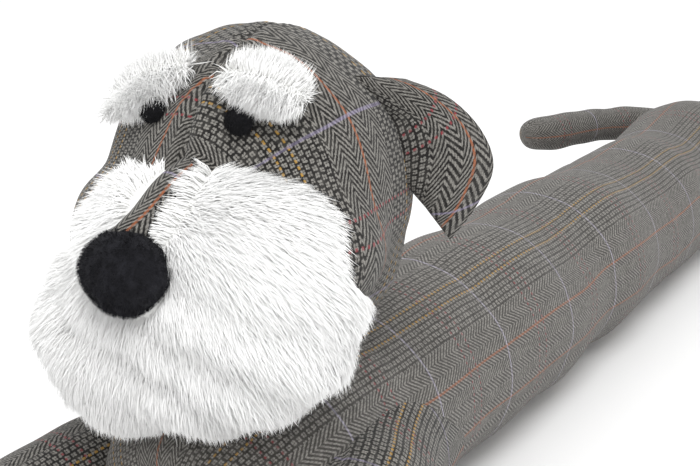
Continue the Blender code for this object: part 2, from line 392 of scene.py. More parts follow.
def polar_ways(rows: int, columns: int) -> Array:
    """Unit ways on rings around the forward axis, first left, then up."""
    polar = (np.arange(rows) + 0.5) / rows * math.pi
    turn = np.linspace(0.0, 2.0 * math.pi, columns, endpoint=False)
    return np.stack(np.broadcast_arrays(
        np.cos(polar)[:, None],
        np.sin(polar)[:, None] * np.cos(turn)[None],
        np.sin(polar)[:, None] * np.sin(turn)[None]), axis=-1)


class Level:
    """A shader value: Python's operators on it add Math nodes."""

    def __init__(self, finish: "Shader", socket: bpy.types.NodeSocket) -> None:
        """Keep the shader and the socket that carries the value."""
        self.finish = finish
        self.socket = socket

    def math(self, operation: str, *others: "Level | float") -> "Level":
        """Add a Math node on this value and others."""
        inputs = dict(enumerate((self, *others)))
        node = self.finish.node("ShaderNodeMath", {"operation": operation}, inputs)
        return Level(self.finish, node.outputs[0])

    def __add__(self, other: "Level | float") -> "Level":
        """Add."""
        return self.math("ADD", other)

    def __sub__(self, other: "Level | float") -> "Level":
        """Take away."""
        return self.math("SUBTRACT", other)

    def __rsub__(self, other: float) -> "Level":
        """Take from a number."""
        return (self * -1.0) + other

    def __mul__(self, other: "Level | float") -> "Level":
        """Multiply."""
        return self.math("MULTIPLY", other)

    def __truediv__(self, other: "Level | float") -> "Level":
        """Divide."""
        return self.math("DIVIDE", other)

    __radd__ = __add__
    __rmul__ = __mul__

    def __mod__(self, other: float) -> "Level":
        """Remainder that is never negative."""
        return self.math("FLOORED_MODULO", other)

    def __abs__(self) -> "Level":
        """Size without sign."""
        return self.math("ABSOLUTE")

    def floor(self) -> "Level":
        """Whole number below."""
        return self.math("FLOOR")

    def off(self, pitch: float) -> "Level":
        """Distance from the nearest multiple of a pitch."""
        return abs((self + pitch / 2.0) % pitch - pitch / 2.0)

    def off_half(self) -> "Level":
        """Distance of the fraction from a half."""
        return abs(self % 1.0 - 0.5)

    def fade(self, low: float, high: float) -> "Level":
        """Rise smoothly from 0 at low to 1 at high, or fall where low is above high."""
        near, far = min(low, high), max(low, high)
        node = self.finish.node(
            "ShaderNodeMapRange", {"interpolation_type": "SMOOTHSTEP"},
            {"Value": self, "From Min": near, "From Max": far,
             "To Min": 0.0 if low < high else 1.0, "To Max": 1.0 if low < high else 0.0})
        return Level(self.finish, node.outputs[0])


class Shader:
    """A material and the nodes that make it."""

    def __init__(self, name: str, roughness: float, sheen: float = 0.0) -> None:
        """Make a Principled material with its uniform values.

        Args:
            name: the material's name.
            roughness: roughness all over.
            sheen: weight of the cloth's sheen.
        """
        self.material = bpy.data.materials.new(name)
        self.material.use_nodes = True
        self.tree = self.material.node_tree
        self.surface = self.tree.nodes["Principled BSDF"]
        self.surface.inputs["Roughness"].default_value = roughness
        self.surface.inputs["Specular IOR Level"].default_value = 0.2
        self.surface.inputs["Sheen Weight"].default_value = sheen
        self.surface.inputs["Sheen Roughness"].default_value = 0.6

    def node(self, kind: str, settings: dict | None = None,
             inputs: dict | None = None) -> bpy.types.Node:
        """Add any node.

        Args:
            kind: the node's type.
            settings: its properties, which are set first.
            inputs: values or links of its sockets, by name or number.

        Returns:
            The node.
        """
        made = self.tree.nodes.new(kind)
        for name, value in (settings or {}).items():
            setattr(made, name, value)
        for name, value in (inputs or {}).items():
            if isinstance(value, Level):
                self.tree.links.new(value.socket, made.inputs[name])
            elif isinstance(value, bpy.types.NodeSocket):
                self.tree.links.new(value, made.inputs[name])
            else:
                made.inputs[name].default_value = value
        return made

    def cloth_map(self) -> tuple[Level, Level]:
        """The two coordinates of the piece's own cloth map."""
        place = self.node("ShaderNodeUVMap", {"uv_map": "cloth"})
        parts = self.node("ShaderNodeSeparateXYZ", inputs={"Vector": place.outputs["UV"]})
        return Level(self, parts.outputs["X"]), Level(self, parts.outputs["Y"])

    def noise(self, scale: float, detail: float = 2.0) -> Level:
        """Noise on the object's coordinates, around 0.5."""
        place = self.node("ShaderNodeTexCoord")
        made = self.node("ShaderNodeTexNoise", inputs={
            "Vector": place.outputs["Object"], "Scale": scale, "Detail": detail})
        return Level(self, made.outputs["Fac"])

    def chance(self, first: Level, second: Level) -> Level:
        """A random value between 0 and 1 for each pair of whole numbers."""
        pair = self.node("ShaderNodeCombineXYZ", inputs={"X": first, "Y": second})
        made = self.node("ShaderNodeTexWhiteNoise", {"noise_dimensions": "2D"},
                         {"Vector": pair.outputs["Vector"]})
        return Level(self, made.outputs["Value"])

    def mix(self, share: Level, first: object, second: object) -> bpy.types.NodeSocket:
        """Blend two colours, each a socket or red, green and blue, by a share."""
        ends = [colour if isinstance(colour, bpy.types.NodeSocket) else (*colour, 1.0)
                for colour in (first, second)]
        made = self.node("ShaderNodeMix", {"data_type": "RGBA"},
                         {0: share, 6: ends[0], 7: ends[1]})
        return made.outputs[2]

    def paint(self, colour: bpy.types.NodeSocket) -> None:
        """Link the base colour."""
        self.tree.links.new(colour, self.surface.inputs["Base Color"])

    def relief(self, height: Level, distance: float, strength: float) -> None:
        """Link a bump."""
        bump = self.node("ShaderNodeBump", inputs={
            "Strength": strength, "Distance": distance, "Height": height})
        self.tree.links.new(bump.outputs["Normal"], self.surface.inputs["Normal"])


@dataclass(frozen=True)
class Tweed:
    """Woven wool: herringbone around rust lines, barleycorn around pairs of gold lines.

    Coordinates are yarns. A rust line lies at 0 and every REPEAT yarns across, with the
    gold pair halfway. A lilac line lies at 0 and every REPEAT along, with the red pair
    halfway.

    Args:
        name: the material's name.
        dark: colour of the dark yarn.
        light: colour of the light yarn.
        soften: share by which the nap hides the weave, 0 to 1.
        faint: share by which the nap hides the coloured lines, 0 to 1.
        rust, gold, lilac, red: colours of the lines.
        column: width of cloth between two folds of the herringbone, in yarns.
        climb: how far a stripe climbs for each yarn across.
        stripe: pitch of the stripes.
        spot: pitch of the barleycorn's spots.
        band: half width of the herringbone around a rust line.
        pair: distance of a gold or red line from the middle of its pair.
        sway: how far the yarns stray from straight.
    """

    name: str
    dark: tuple = (0.011, 0.010, 0.009)
    light: tuple = (0.252, 0.241, 0.220)
    soften: float = 0.0
    faint: float = 0.0
    rust: tuple = (0.33, 0.105, 0.042)
    gold: tuple = (0.44, 0.25, 0.040)
    lilac: tuple = (0.30, 0.265, 0.39)
    red: tuple = (0.26, 0.035, 0.045)
    column: float = 7.5
    climb: float = 1.4
    stripe: float = 3.8
    spot: float = 4.0
    band: float = 22.5
    pair: float = 5.0
    sway: float = 2.4

    def make(self) -> bpy.types.Material:
        """Build the material.

        Warp ends lie side by side, END yarns wide. In the herringbone the pale stripes
        climb to a fold, then fall to the next. In the barleycorn two by two lobes make
        one pale spot, and each column of spots is half a spot off its neighbours.
        """
        shade = Shader(self.name, roughness=0.92, sheen=0.12)
        across, along = (metres * (1.0 / YARN) for metres in shade.cloth_map())
        wool = shade.noise(1150.0, 4.0).fade(0.30, 0.70)
        across = across + (shade.noise(14.0) - 0.5) * self.sway
        along = along + (shade.noise(17.0, 3.0) - 0.5) * self.sway
        ends = across / END
        gap = ends.off_half().fade(0.24, 0.50)
        off_rust = across.off(REPEAT)
        off_lilac = along.off(REPEAT)
        rough = (wool - 0.5) * 0.26

        fold = abs((across + REPEAT + self.column) % (2.0 * self.column) - self.column)
        stripe = ((along + fold * self.climb) / self.stripe).off_half() + rough
        twill = stripe.fade(0.32, 0.16) * (1.0 - gap * 0.50)

        spot_across = (across + (shade.noise(330.0) - 0.5) * 1.5) / self.spot
        spot_along = (along + (shade.noise(290.0) - 0.5) * 1.5) / self.spot
        offset = spot_across.floor() % 2.0 * 0.5
        lobe_x = abs(spot_across.off_half() - 0.180)
        lobe_y = abs((spot_along + offset).off_half() - 0.175)
        size = (lobe_x * lobe_x + lobe_y * lobe_y) * 31.0 + rough * 5.4
        spots = size.fade(1.55, 0.35)

        inside = off_rust.fade(self.band + 0.5, self.band - 0.5)
        weave = twill * inside + spots * (1.0 - inside)
        worn = weave * (1.0 - self.soften) + 0.44 * self.soften
        patchy = shade.chance(ends.floor(), (along / 2.0).floor())
        tone = worn * (wool * 0.70 + patchy * 0.55 + 0.32)
        ground = shade.mix(tone, self.dark, self.light)
        ground = shade.mix((shade.noise(210.0, 4.0) - 0.46) * 0.55, ground, self.light)

        keep = 1.0 - self.faint
        strand = wool * 0.55 + 0.45
        top = (along / 4.0).off_half().fade(0.50, 0.28) * 0.55 + 0.45
        rust = off_rust.fade(0.95, 0.50) * top * strand * keep
        dash = (along / 4.0 + 0.3).off_half().fade(0.30, 0.18)
        gold = abs(REPEAT / 2.0 - off_rust - self.pair).fade(0.95, 0.50) * dash * strand * keep
        lilac = off_lilac.fade(0.85, 0.45) * (weave * 0.45 + 0.48) * strand
        dot = (across / 4.0).off_half().fade(0.28, 0.14)
        red = abs(REPEAT / 2.0 - off_lilac - self.pair).fade(0.90, 0.45) * dot * strand * keep
        for share, colour in ((rust, self.rust), (gold, self.gold), (lilac, self.lilac),
                              (red, self.red)):
            ground = shade.mix(share, ground, colour)
        shade.paint(ground)
        shade.relief(weave * 0.8 + wool * 0.5, 0.00045, 0.55)
        return shade.material


@dataclass(frozen=True)
class Pile:
    """Long white plush, darker towards the roots as painted shade between the fibres.

    Args:
        name: the material's name.
        root: colour at the backing, darker than the tips as painted shade.
        tip: colour at the tips.
    """

    name: str
    root: tuple
    tip: tuple

    def make(self) -> bpy.types.Material:
        """Build the material from the share along each lock, kept in the cloth map."""
        shade = Shader(self.name, roughness=0.85, sheen=0.15)
        rise = shade.cloth_map()[1].fade(0.0, 0.8)
        vary = (shade.noise(120.0) - 0.5) * 0.6
        # Painted shade: the colour darkens from the tips down to the roots.
        shade.paint(shade.mix(rise + vary, self.root, self.tip))
        return shade.material


@dataclass(frozen=True)
class Nap:
    """Short black nap with paler fluff on it, whose pale flecks are partly a painted catch of light.

    Args:
        name: the material's name.
        deep: colour of the ground.
        fluff: colour of the catch of light on the nap.
    """

    name: str
    deep: tuple
    fluff: tuple

    def make(self) -> bpy.types.Material:
        """Build the material."""
        shade = Shader(self.name, roughness=0.95, sheen=0.02)
        grain = shade.noise(1400.0, 4.0)
        patch = shade.noise(160.0)
        # Pale flecks on the black ground: real fluff in part, painted highlight in part.
        shade.paint(shade.mix(grain * patch * 1.6, self.deep, self.fluff))
        shade.relief(grain, 0.0006, 0.6)
        return shade.material


@dataclass(frozen=True)
class Finishes:
    """Every finish of the object, made once."""

    near_tweed: bpy.types.Material
    body_tweed: bpy.types.Material
    plush: bpy.types.Material
    backing: bpy.types.Material
    fleece: bpy.types.Material
    felt: bpy.types.Material

    @classmethod
    def make(cls) -> "Finishes":
        """Build all the materials."""
        # The plush's roots are darker than its tips: painted shade between the fibres.
        root, tip = (0.90, 0.90, 0.885), (0.94, 0.94, 0.935)
        return cls(
            # A darker copy of the body's tweed, as painted shade: worn by the head, bridge and ears,
            # and by the forelegs for the beard's shadow on them.
            near_tweed=Tweed("head_tweed").make(),
            body_tweed=Tweed("body_tweed", soften=0.26, faint=0.20, dark=(0.020, 0.018, 0.016),
                             light=(0.285, 0.272, 0.25), lilac=(0.44, 0.41, 0.52)).make(),
            plush=Pile("white_plush", root, tip).make(),
            backing=Pile("plush_backing", root, tip).make(),
            fleece=Nap("nose_fleece", (0.0025, 0.0025, 0.0035), (0.022, 0.022, 0.028)).make(),
            felt=Nap("eye_felt", (0.0025, 0.0025, 0.003), (0.016, 0.016, 0.019)).make(),
        )


@dataclass
class Locks:
    """Pile made of many narrow pointed blades, gathered in locks.

    Args:
        name: the piece's name.
        locks: number of locks.
        blades: blades in a lock.
        length: length of a blade.
        width: width of a blade at its root.
        spread: how far a blade's root lies from its lock's middle.
        gather: share by which tips draw together, 0 to 1.
        rise: how steeply the pile stands, 0 flat to 1 upright.
        seed: number that picks the random places.
        mess: how far the locks stray from the comb.
        roll: how far the blades turn about their length, in radians.
        tries: ways drawn for each lock, of which the kept ones are used.
    """

    name: str
    locks: int
    blades: int
    length: float
    width: float
    spread: float
    gather: float
    rise: float
    seed: int
    mess: float = 0.14
    roll: float = 0.22
    tries: int = 4

    def build(self, form: Ball, flow: Callable[[Array, Array], Array],
              keep: Callable[[Array], Array], material: bpy.types.Material,
              sink: float = 0.0015) -> bpy.types.Object:
        """Scatter the locks on a form and make the blades.

        A blade has a root edge, a slightly narrower middle edge and a tip. It leaves the
        surface steeply and bends over towards the flow.

        Args:
            form: the form that carries the pile.
            flow: direction that the pile is combed to, from places and normals.
            keep: which of the places carry pile.
            material: the pile's finish.
            sink: distance by which roots start under the surface.

        Returns:
            The object.
        """
        rng = np.random.default_rng(self.seed)
        ways = unit(rng.normal(size=(self.locks * self.tries, 3)))
        ways = ways[keep(form.points(ways))][:self.locks]
        count = len(ways)
        lock_points, lock_normals = form.points(ways), form.normals(ways)
        combed = flow(lock_points, lock_normals)
        comb = combed + rng.normal(size=(count, 3)) * self.mess
        comb = unit(comb_of(lock_normals, comb))
        lock_length = self.length * rng.uniform(0.75, 1.2, count)
        lock_rise = np.clip(self.rise + rng.normal(size=count) * 0.06, 0.06, 0.95)

        size = np.linalg.norm(lock_points - form.place, axis=1)
        shift = rng.normal(size=(count, self.blades, 3)) * (self.spread / size)[:, None, None]
        blade_ways = unit(ways[:, None] + shift).reshape(-1, 3)
        owner = np.repeat(np.arange(count), self.blades)
        kept = keep(form.points(blade_ways))
        blade_ways, owner = blade_ways[kept], owner[kept]
        roots, normals = form.points(blade_ways), form.normals(blade_ways)
        total = len(roots)
        comb = unit(comb[owner] + rng.normal(size=(total, 3)) * self.mess * 0.7)
        length = lock_length[owner] * rng.uniform(0.7, 1.1, total)
        rise = np.clip(lock_rise[owner] + rng.normal(size=total) * 0.05, 0.04, 1.0)
        lean = np.sqrt(1.0 - rise ** 2)
        heading = normals * rise[:, None] + comb * lean[:, None]
        start = normals * (rise ** 0.7)[:, None] + comb * (1.0 - rise)[:, None] * 0.8
        middle = roots + unit(start) * (0.5 * length)[:, None]
        tips = middle + unit(heading - normals * 0.12) * (0.55 * length)[:, None]
        lock_heading = unit(lock_normals * lock_rise[:, None] ** 0.8
                            + unit(comb_of(lock_normals, combed))
                            * np.sqrt(1.0 - lock_rise ** 2)[:, None])
        lock_tips = lock_points + lock_heading * lock_length[:, None]
        drawn = self.gather * rng.uniform(0.4, 1.0, total)
        tips = tips + (lock_tips[owner] - tips) * drawn[:, None]
        middle = middle + (0.5 * (roots + tips) - middle) * 0.35
        side = unit(np.cross(tips - roots, normals) + rng.normal(size=(total, 3)) * 0.0008)
        roll = rng.normal(size=total) * self.roll
        side = unit(side * np.cos(roll)[:, None] + normals * np.sin(roll)[:, None])
        half = (0.5 * self.width * rng.uniform(0.7, 1.3, total))[:, None]
        sunk = roots - normals * sink
        points = np.stack((sunk - side * half, sunk + side * half, middle - side * half * 0.9,
                           middle + side * half * 0.9, tips), axis=1)
        return blade_piece(self.name, points, normals, material)


def comb_of(normals: Array, flow: Array) -> Array:
    """The part of a flow that lies in the surface."""
    return flow - np.sum(flow * normals, axis=-1, keepdims=True) * normals


def blade_piece(name: str, blades: Array, normals: Array,
                material: bpy.types.Material) -> bpy.types.Object:
    """Make one mesh of five-point blades that face away from the surface they grow on.

    Args:
        name: the piece's name.
        blades: places from the head's middle: root pair, middle pair and tip of each.
        normals: the surface's normal at each blade.
        material: the pile's finish.

    Returns:
        The object.
    """
    total = len(blades)
    world = from_head(blades)
    turned = normals * (-1.0, -1.0, 1.0)
    face_way = np.cross(world[:, 1] - world[:, 0], world[:, 2] - world[:, 0])
    flip = np.sum(face_way * turned, axis=1) < 0.0
    world[flip] = world[flip][:, [1, 0, 3, 2, 4]]
    first = np.arange(total)[:, None] * 5
    quads = first + np.array((0, 1, 3, 2))
    tips = first + np.array((2, 3, 4))
    faces = quads.tolist() + tips.tolist()
    rise = np.concatenate((np.tile((0.0, 0.0, 0.5, 0.5), total), np.tile((0.5, 0.5, 1.0), total)))
    cloth = np.stack((np.full_like(rise, 0.5), rise), axis=-1)
    return put_in_scene(name, world.reshape(-1, 3), faces, material, cloth)


def report(piece: bpy.types.Object, nodes: tuple[str, ...] = ()) -> bpy.types.Object:
    """Seat a piece on the frame, hide the CAD nodes that it replaces and log its triangles.

    Args:
        piece: the finished piece.
        nodes: the CAD nodes that it replaces.

    Returns:
        The piece.
    """
    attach(piece, BODY)
    if nodes:
        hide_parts(*nodes)
    triangles = sum(len(face.vertices) - 2 for face in piece.data.polygons)
    LOG.info("%s: %d triangles", piece.name, triangles)
    return piece


@dataclass
class Body:
    """The long stuffed body with its rounded ends.

    Args:
        floor_sink: depth by which the round section is pressed flat on the floor.
        end_height: height of the middle of both ends.
        middle_along: middle of the body.
        end_reach: how far from its middle an end begins.
        sections: rows of along, sideways, half width and half height.
        creases: rows of along, depth and width of the creases.
        seam_along: place of the sewn ring at the rear.
        lilac_along: place of one lilac line.
        lilac_pitch: distance between lilac lines.
        rust_turn: turn at which one rust line lies, in degrees.
        rust_pitch: turn between rust lines, in degrees.
        filling: layers of the filling's lumps.
    """

    floor_sink: float = 0.0035
    end_height: float = 0.0565
    middle_along: float = 0.05
    end_reach: float = 0.38
    sections: tuple = (
        (-0.375, 0.000, 0.005, 0.005), (-0.372, 0.000, 0.021, 0.019),
        (-0.366, 0.000, 0.042, 0.038), (-0.346, 0.000, 0.058, 0.054),
        (-0.310, 0.000, 0.065, 0.062), (-0.265, 0.000, 0.064, 0.062), (-0.215, 0.000, 0.062, 0.061),
        (-0.165, 0.000, 0.062, 0.061), (-0.115, 0.000, 0.063, 0.061), (-0.065, 0.000, 0.063, 0.061),
        (-0.015, 0.001, 0.062, 0.059), (0.035, 0.002, 0.061, 0.060), (0.085, 0.003, 0.062, 0.060),
        (0.135, 0.004, 0.060, 0.058), (0.185, 0.005, 0.058, 0.056), (0.235, 0.006, 0.058, 0.057),
        (0.285, 0.007, 0.056, 0.054), (0.330, 0.008, 0.057, 0.057), (0.375, 0.009, 0.057, 0.058),
        (0.415, 0.010, 0.055, 0.055), (0.446, 0.011, 0.046, 0.046), (0.466, 0.011, 0.030, 0.031),
        (0.473, 0.011, 0.014, 0.015), (0.4745, 0.011, 0.004, 0.004))
    creases: tuple = (
        (-0.235, 0.0022, 0.007), (-0.205, 0.0016, 0.006), (-0.090, 0.0010, 0.008),
        (0.060, 0.0012, 0.009), (0.215, 0.0012, 0.008), (0.300, 0.0014, 0.008))
    seam_along: float = 0.452
    lilac_along: float = -0.130
    lilac_pitch: float = 0.0865
    rust_turn: float = 19.5
    rust_pitch: float = 82.5
    filling: tuple = ((9.0, 0.0014, 3), (24.0, 0.0007, 4))

    def build(self, finish: bpy.types.Material) -> bpy.types.Object:
        """Make the body with its lumps of filling, creases and end seam."""
        rows = []
        for along, sideways, half_width, half_height in self.sections:
            at_end = abs(along - self.middle_along) > self.end_reach
            height = self.end_height if at_end else half_height - self.floor_sink
            rows.append((along + FORWARD_SHIFT, sideways, height,
                         half_width * SNUG, half_height * SNUG))
        rings, turn, travel = Tube(tuple(rows), rows=370, columns=120).rings()
        normals = outward_normals(rings)
        along = rings[..., 0]
        lean = along + 0.25 * rings[..., 2]
        crease = np.zeros_like(along)
        for place, deep, wide in self.creases:
            fade = 0.5 + 0.5 * ripples(rings, 6.0, int(1000 + place * 1000))
            crease -= deep * np.clip(fade, 0.0, 1.0) * np.exp(-((lean - place) / wide) ** 2)
        off_seam = along - self.seam_along - FORWARD_SHIFT
        crease -= 0.0016 * np.exp(-(off_seam / 0.0022) ** 2)
        pucker = 0.0005 * np.sin(turn * 46.0)[None] * np.exp(-(off_seam / 0.007) ** 2)
        relief = lumps(rings, *self.filling) + crease + pucker
        rings = rings + normals * relief[..., None]
        rings = rest_on_floor(rings)
        full = np.append(turn, 2.0 * math.pi)
        across = (np.degrees(full) - self.rust_turn) / self.rust_pitch * REPEAT * YARN
        first = rings[:, :, 0].mean(axis=1)
        down = (first - self.lilac_along - FORWARD_SHIFT) / self.lilac_pitch * REPEAT * YARN
        round_end = travel - (first - first[0])
        down = down + round_end - round_end[len(round_end) // 2]
        cloth = np.stack(np.broadcast_arrays(across[None], down[:, None]), axis=-1)
        piece = wrapped_piece("body_cover", rings, cloth, finish)
        return report(piece, ("body",))


@dataclass
class Forelegs:
    """The two forelegs stretched forward, the right one a mirror image of the left.

    Args:
        sections: rows of along, sideways, height, half width and half height.
        rust_turn: turn at which each foreleg's rust line lies, in degrees.
    """

    sections: tuple = (
        (-0.140, 0.004, 0.046, 0.034, 0.034), (-0.180, 0.014, 0.047, 0.0425, 0.042),
        (-0.225, 0.026, 0.047, 0.042, 0.045), (-0.270, 0.042, 0.046, 0.041, 0.045),
        (-0.320, 0.061, 0.042, 0.040, 0.043), (-0.370, 0.078, 0.036, 0.038, 0.040),
        (-0.415, 0.091, 0.033, 0.037, 0.037), (-0.455, 0.098, 0.031, 0.036, 0.036),
        (-0.482, 0.102, 0.029, 0.029, 0.030), (-0.492, 0.104, 0.028, 0.016, 0.017),
        (-0.4935, 0.1043, 0.02785, 0.005, 0.005))
    rust_turn: dict = field(default_factory=lambda: {Side.LEFT: 190.0, Side.RIGHT: 60.0})

    def build(self, side: Side, finish: bpy.types.Material) -> bpy.types.Object:
        """Make one foreleg."""
        rows = tuple(
            (along + FORWARD_SHIFT, -side.value * sideways, height, wide * SNUG, tall * SNUG)
            for along, sideways, height, wide, tall in self.sections)
        tube = Tube(rows, rows=165, columns=84)
        rings, turn, travel = tube.rings()
        normals = outward_normals(rings)
        relief = lumps(rings, (13.0, 0.0013, 11 + side.value), (34.0, 0.0005, 21))
        off_top = np.degrees(turn) - 90.0
        groove = 0.0011 * np.exp(-(off_top / 2.6) ** 2)[None]
        pucker = 0.0004 * np.sin(travel * 2.0 * math.pi / 0.0052)[:, None]
        seam = np.exp(-(off_top / 9.0) ** 2)[None] * pucker - groove
        size = np.linalg.norm(rings - rings.mean(axis=1, keepdims=True), axis=-1).mean(axis=1)
        seam = seam * smooth_step(size, 0.008, 0.028)[:, None]
        rings = rest_on_floor(rings + normals * (relief + seam)[..., None])
        cloth = tube.cloth(turn, travel, self.rust_turn[side], start=0.10, around=0.24)
        name = "foreleg_%s" % side.word
        piece = wrapped_piece(name + "_cover", rings, cloth, finish)
        return report(piece, (name,))


@dataclass
class Tail:
    """The stuffed tail that curls round to the dog's right.

    Args:
        sections: rows of along, sideways, height, half width and half height.
    """

    sections: tuple = (
        (0.450, 0.022, 0.070, 0.014, 0.014), (0.446, 0.056, 0.073, 0.015, 0.015),
        (0.425, 0.080, 0.077, 0.0145, 0.0145), (0.390, 0.094, 0.081, 0.014, 0.014),
        (0.350, 0.105, 0.084, 0.0145, 0.0145), (0.318, 0.114, 0.086, 0.0145, 0.0145),
        (0.302, 0.119, 0.087, 0.012, 0.012), (0.295, 0.121, 0.087, 0.006, 0.006))

    def build(self, finish: bpy.types.Material) -> bpy.types.Object:
        """Make the tail."""
        rows = tuple((along + FORWARD_SHIFT, *rest) for along, *rest in self.sections)
        tube = Tube(rows, rows=130, columns=48)
        rings, turn, travel = tube.rings()
        relief = lumps(rings, (26.0, 0.0007, 31))
        rings = rings + outward_normals(rings) * relief[..., None]
        cloth = tube.cloth(turn, travel, start_turn=180.0, start=0.125, around=0.0895)
        piece = wrapped_piece("tail_cover", rings, cloth, finish)
        return report(piece, ("tail",))


@dataclass
class Head:
    """The stuffed head: two side panels that meet in a seam over the forehead.

    Each form is an ellipsoid: its middle from the head's middle, then its radii.

    Args:
        skull, neck, jowl: forms of both sides.
        far_cheek, far_temple, far_crown: forms that fill out the dog's right.
        seam_deep, seam_wide: depth and half width of the forehead's seam.
        rows, columns: size of the grid.
        filling: layers of the filling's lumps.
        left_rust, left_lilac: angles at which the left panel's lines lie, in degrees.
        left_across, left_along: angles that half a repeat spans there, in degrees.
        left_top: stretch of the cloth above the lilac line.
        right_radius: length of cloth in one radian of the right panel.
        right_slant: how far its warp drifts left for each length forward.
        right_rust: place forward at which its rust line crosses the seam.
        right_lilac: angle at which its lilac line lies, in degrees.
    """

    skull: tuple = ((-0.004, 0.0, 0.0), (0.072, 0.069, 0.075))
    neck: tuple = ((-0.030, 0.0, -0.040), (0.050, 0.050, 0.042))
    jowl: tuple = ((0.032, 0.0, -0.018), (0.052, 0.077, 0.041))
    far_cheek: tuple = ((0.034, -0.010, -0.017), (0.052, 0.067, 0.0395))
    far_temple: tuple = ((0.020, -0.012, 0.006), (0.043, 0.051, 0.040))
    far_crown: tuple = ((-0.001, -0.012, 0.006), (0.061, 0.059, 0.067))
    seam_deep: float = 0.0016
    seam_wide: float = 0.0016
    rows: int = 184
    columns: int = 200
    filling: tuple = ((15.0, 0.0012, 41), (40.0, 0.0004, 42))
    left_rust: float = 10.4
    left_lilac: float = 38.0
    left_across: float = 31.4
    left_along: float = 41.0
    left_top: float = 0.68
    right_radius: float = 0.074
    right_slant: float = 0.63
    right_rust: float = 0.040
    right_lilac: float = 10.0

    def reach(self, ways: Array) -> Array:
        """Outer surface of the skull, neck and jowls, fuller on the dog's right."""
        smooth = soft_union([far_side(ways, *form) for form in (self.skull, self.neck, self.jowl)])
        far = [far_side(ways, *form) for form in (self.far_cheek, self.far_temple, self.far_crown)]
        return soft_union([smooth * SNUG, *far], 30.0)

    def form(self) -> Ball:
        """The head as a ball around its own middle."""
        return Ball(np.zeros(3), self.reach)

    def cloth(self, ways: Array, side: Side) -> Array:
        """Lay one side panel's cloth by two angles of the way from the head's middle.

        On the left panel the warp hangs down the cheek: across is the angle behind the
        rust line, and along is the angle around the forward axis, down from the lilac
        line. On the right panel the warp runs down beside the forehead's seam.
        """
        forward, left, up = ways[..., 0], ways[..., 1], ways[..., 2]
        if side is Side.LEFT:
            across = math.radians(self.left_rust) - np.arcsin(np.clip(forward, -1, 1))
            across = across / math.radians(self.left_across)
            above = math.radians(self.left_lilac) - np.arctan2(up, left)
            along = above / math.radians(self.left_along) * np.where(above < 0.0, self.left_top, 1.0)
            return np.stack((across, along), axis=-1) * 0.5 * REPEAT * YARN
        drift = self.right_slant * (forward * self.right_radius - self.right_rust)
        across = left * self.right_radius + drift
        along = (math.radians(self.right_lilac) - np.arctan2(up, forward)) * self.right_radius
        return np.stack((across, along), axis=-1)

    def build(self, finish: bpy.types.Material) -> bpy.types.Object:
        """Make the head with its forehead seam and its two panels of cloth."""
        ways = polar_ways(self.rows, self.columns)
        reach = self.reach(ways)
        places = ways * reach[..., None]
        reach = reach + lumps(places, *self.filling)
        off = np.abs(places[..., 1])
        groove = self.seam_deep * np.exp(-(off / self.seam_wide) ** 2)
        pucker = 0.0005 * np.sin(places[..., 0] * 2.0 * math.pi / 0.005)
        pucker = pucker * np.exp(-(off / 0.006) ** 2)
        ridge = 0.0008 * np.exp(-((off - 0.006) / 0.004) ** 2)
        rings = from_head(ways * (reach - groove + pucker + ridge)[..., None])
        closed = np.concatenate((ways, ways[:, :1]), axis=1)
        piece = wrapped_piece("head_cover", rings, self.cloth(closed, Side.LEFT), finish)
        self.relay_right(piece)
        return report(piece, ("head",))

    def relay_right(self, piece: bpy.types.Object) -> None:
        """Lay the right panel's cloth on the faces right of the seam."""
        mesh = piece.data
        corners = len(mesh.loops)
        numbers = np.zeros(corners, np.int64)
        mesh.loops.foreach_get("vertex_index", numbers)
        points = np.zeros(len(mesh.vertices) * 3)
        mesh.vertices.foreach_get("co", points)
        places = (points.reshape(-1, 3) - HEAD_MIDDLE) * (-1.0, -1.0, 1.0)
        starts = np.zeros(len(mesh.polygons), np.int64)
        totals = np.zeros(len(mesh.polygons), np.int64)
        mesh.polygons.foreach_get("loop_start", starts)
        mesh.polygons.foreach_get("loop_total", totals)
        face = np.repeat(np.arange(len(starts)), totals)
        mean_left = np.bincount(face, weights=places[numbers, 1]) / totals
        right = mean_left[face] < 0.0
        cloth = np.zeros(corners * 2)
        layer = mesh.uv_layers["cloth"]
        layer.data.foreach_get("uv", cloth)
        cloth = cloth.reshape(-1, 2)
        cloth[right] = self.cloth(unit(places[numbers]), Side.RIGHT)[right]
        layer.data.foreach_set("uv", cloth.astype(np.float32).ravel())


@dataclass
class Bridge:
    """The strip of cloth that runs down the snout to the nose.

    Args:
        sections: rows of forward, up, half width and half height.
    """

    sections: tuple = (
        (0.040, 0.010, 0.0080, 0.0135), (0.056, 0.012, 0.0098, 0.0160),
        (0.072, 0.0075, 0.0105, 0.0165), (0.088, -0.0025, 0.0105, 0.0165),
        (0.101, -0.0115, 0.0100, 0.0155), (0.108, -0.0175, 0.0090, 0.0120))

    def build(self, finish: bpy.types.Material) -> bpy.types.Object:
        """Make the strip."""
        rows = []
        for forward, up, wide, tall in self.sections:
            left = np.interp(forward, *STRIP)
            rows.append((*from_head(np.array((forward, left, up))), wide, tall))
        tube = Tube(tuple(rows), rows=80, columns=56)
        rings, turn, travel = tube.rings()
        relief = lumps(rings, (40.0, 0.0004, 51))
        rings = rings + outward_normals(rings) * relief[..., None]
        cloth = tube.cloth(turn, travel, start_turn=115.0, start=0.030, around=0.084)
        return report(wrapped_piece("bridge_cover", rings, cloth, finish))


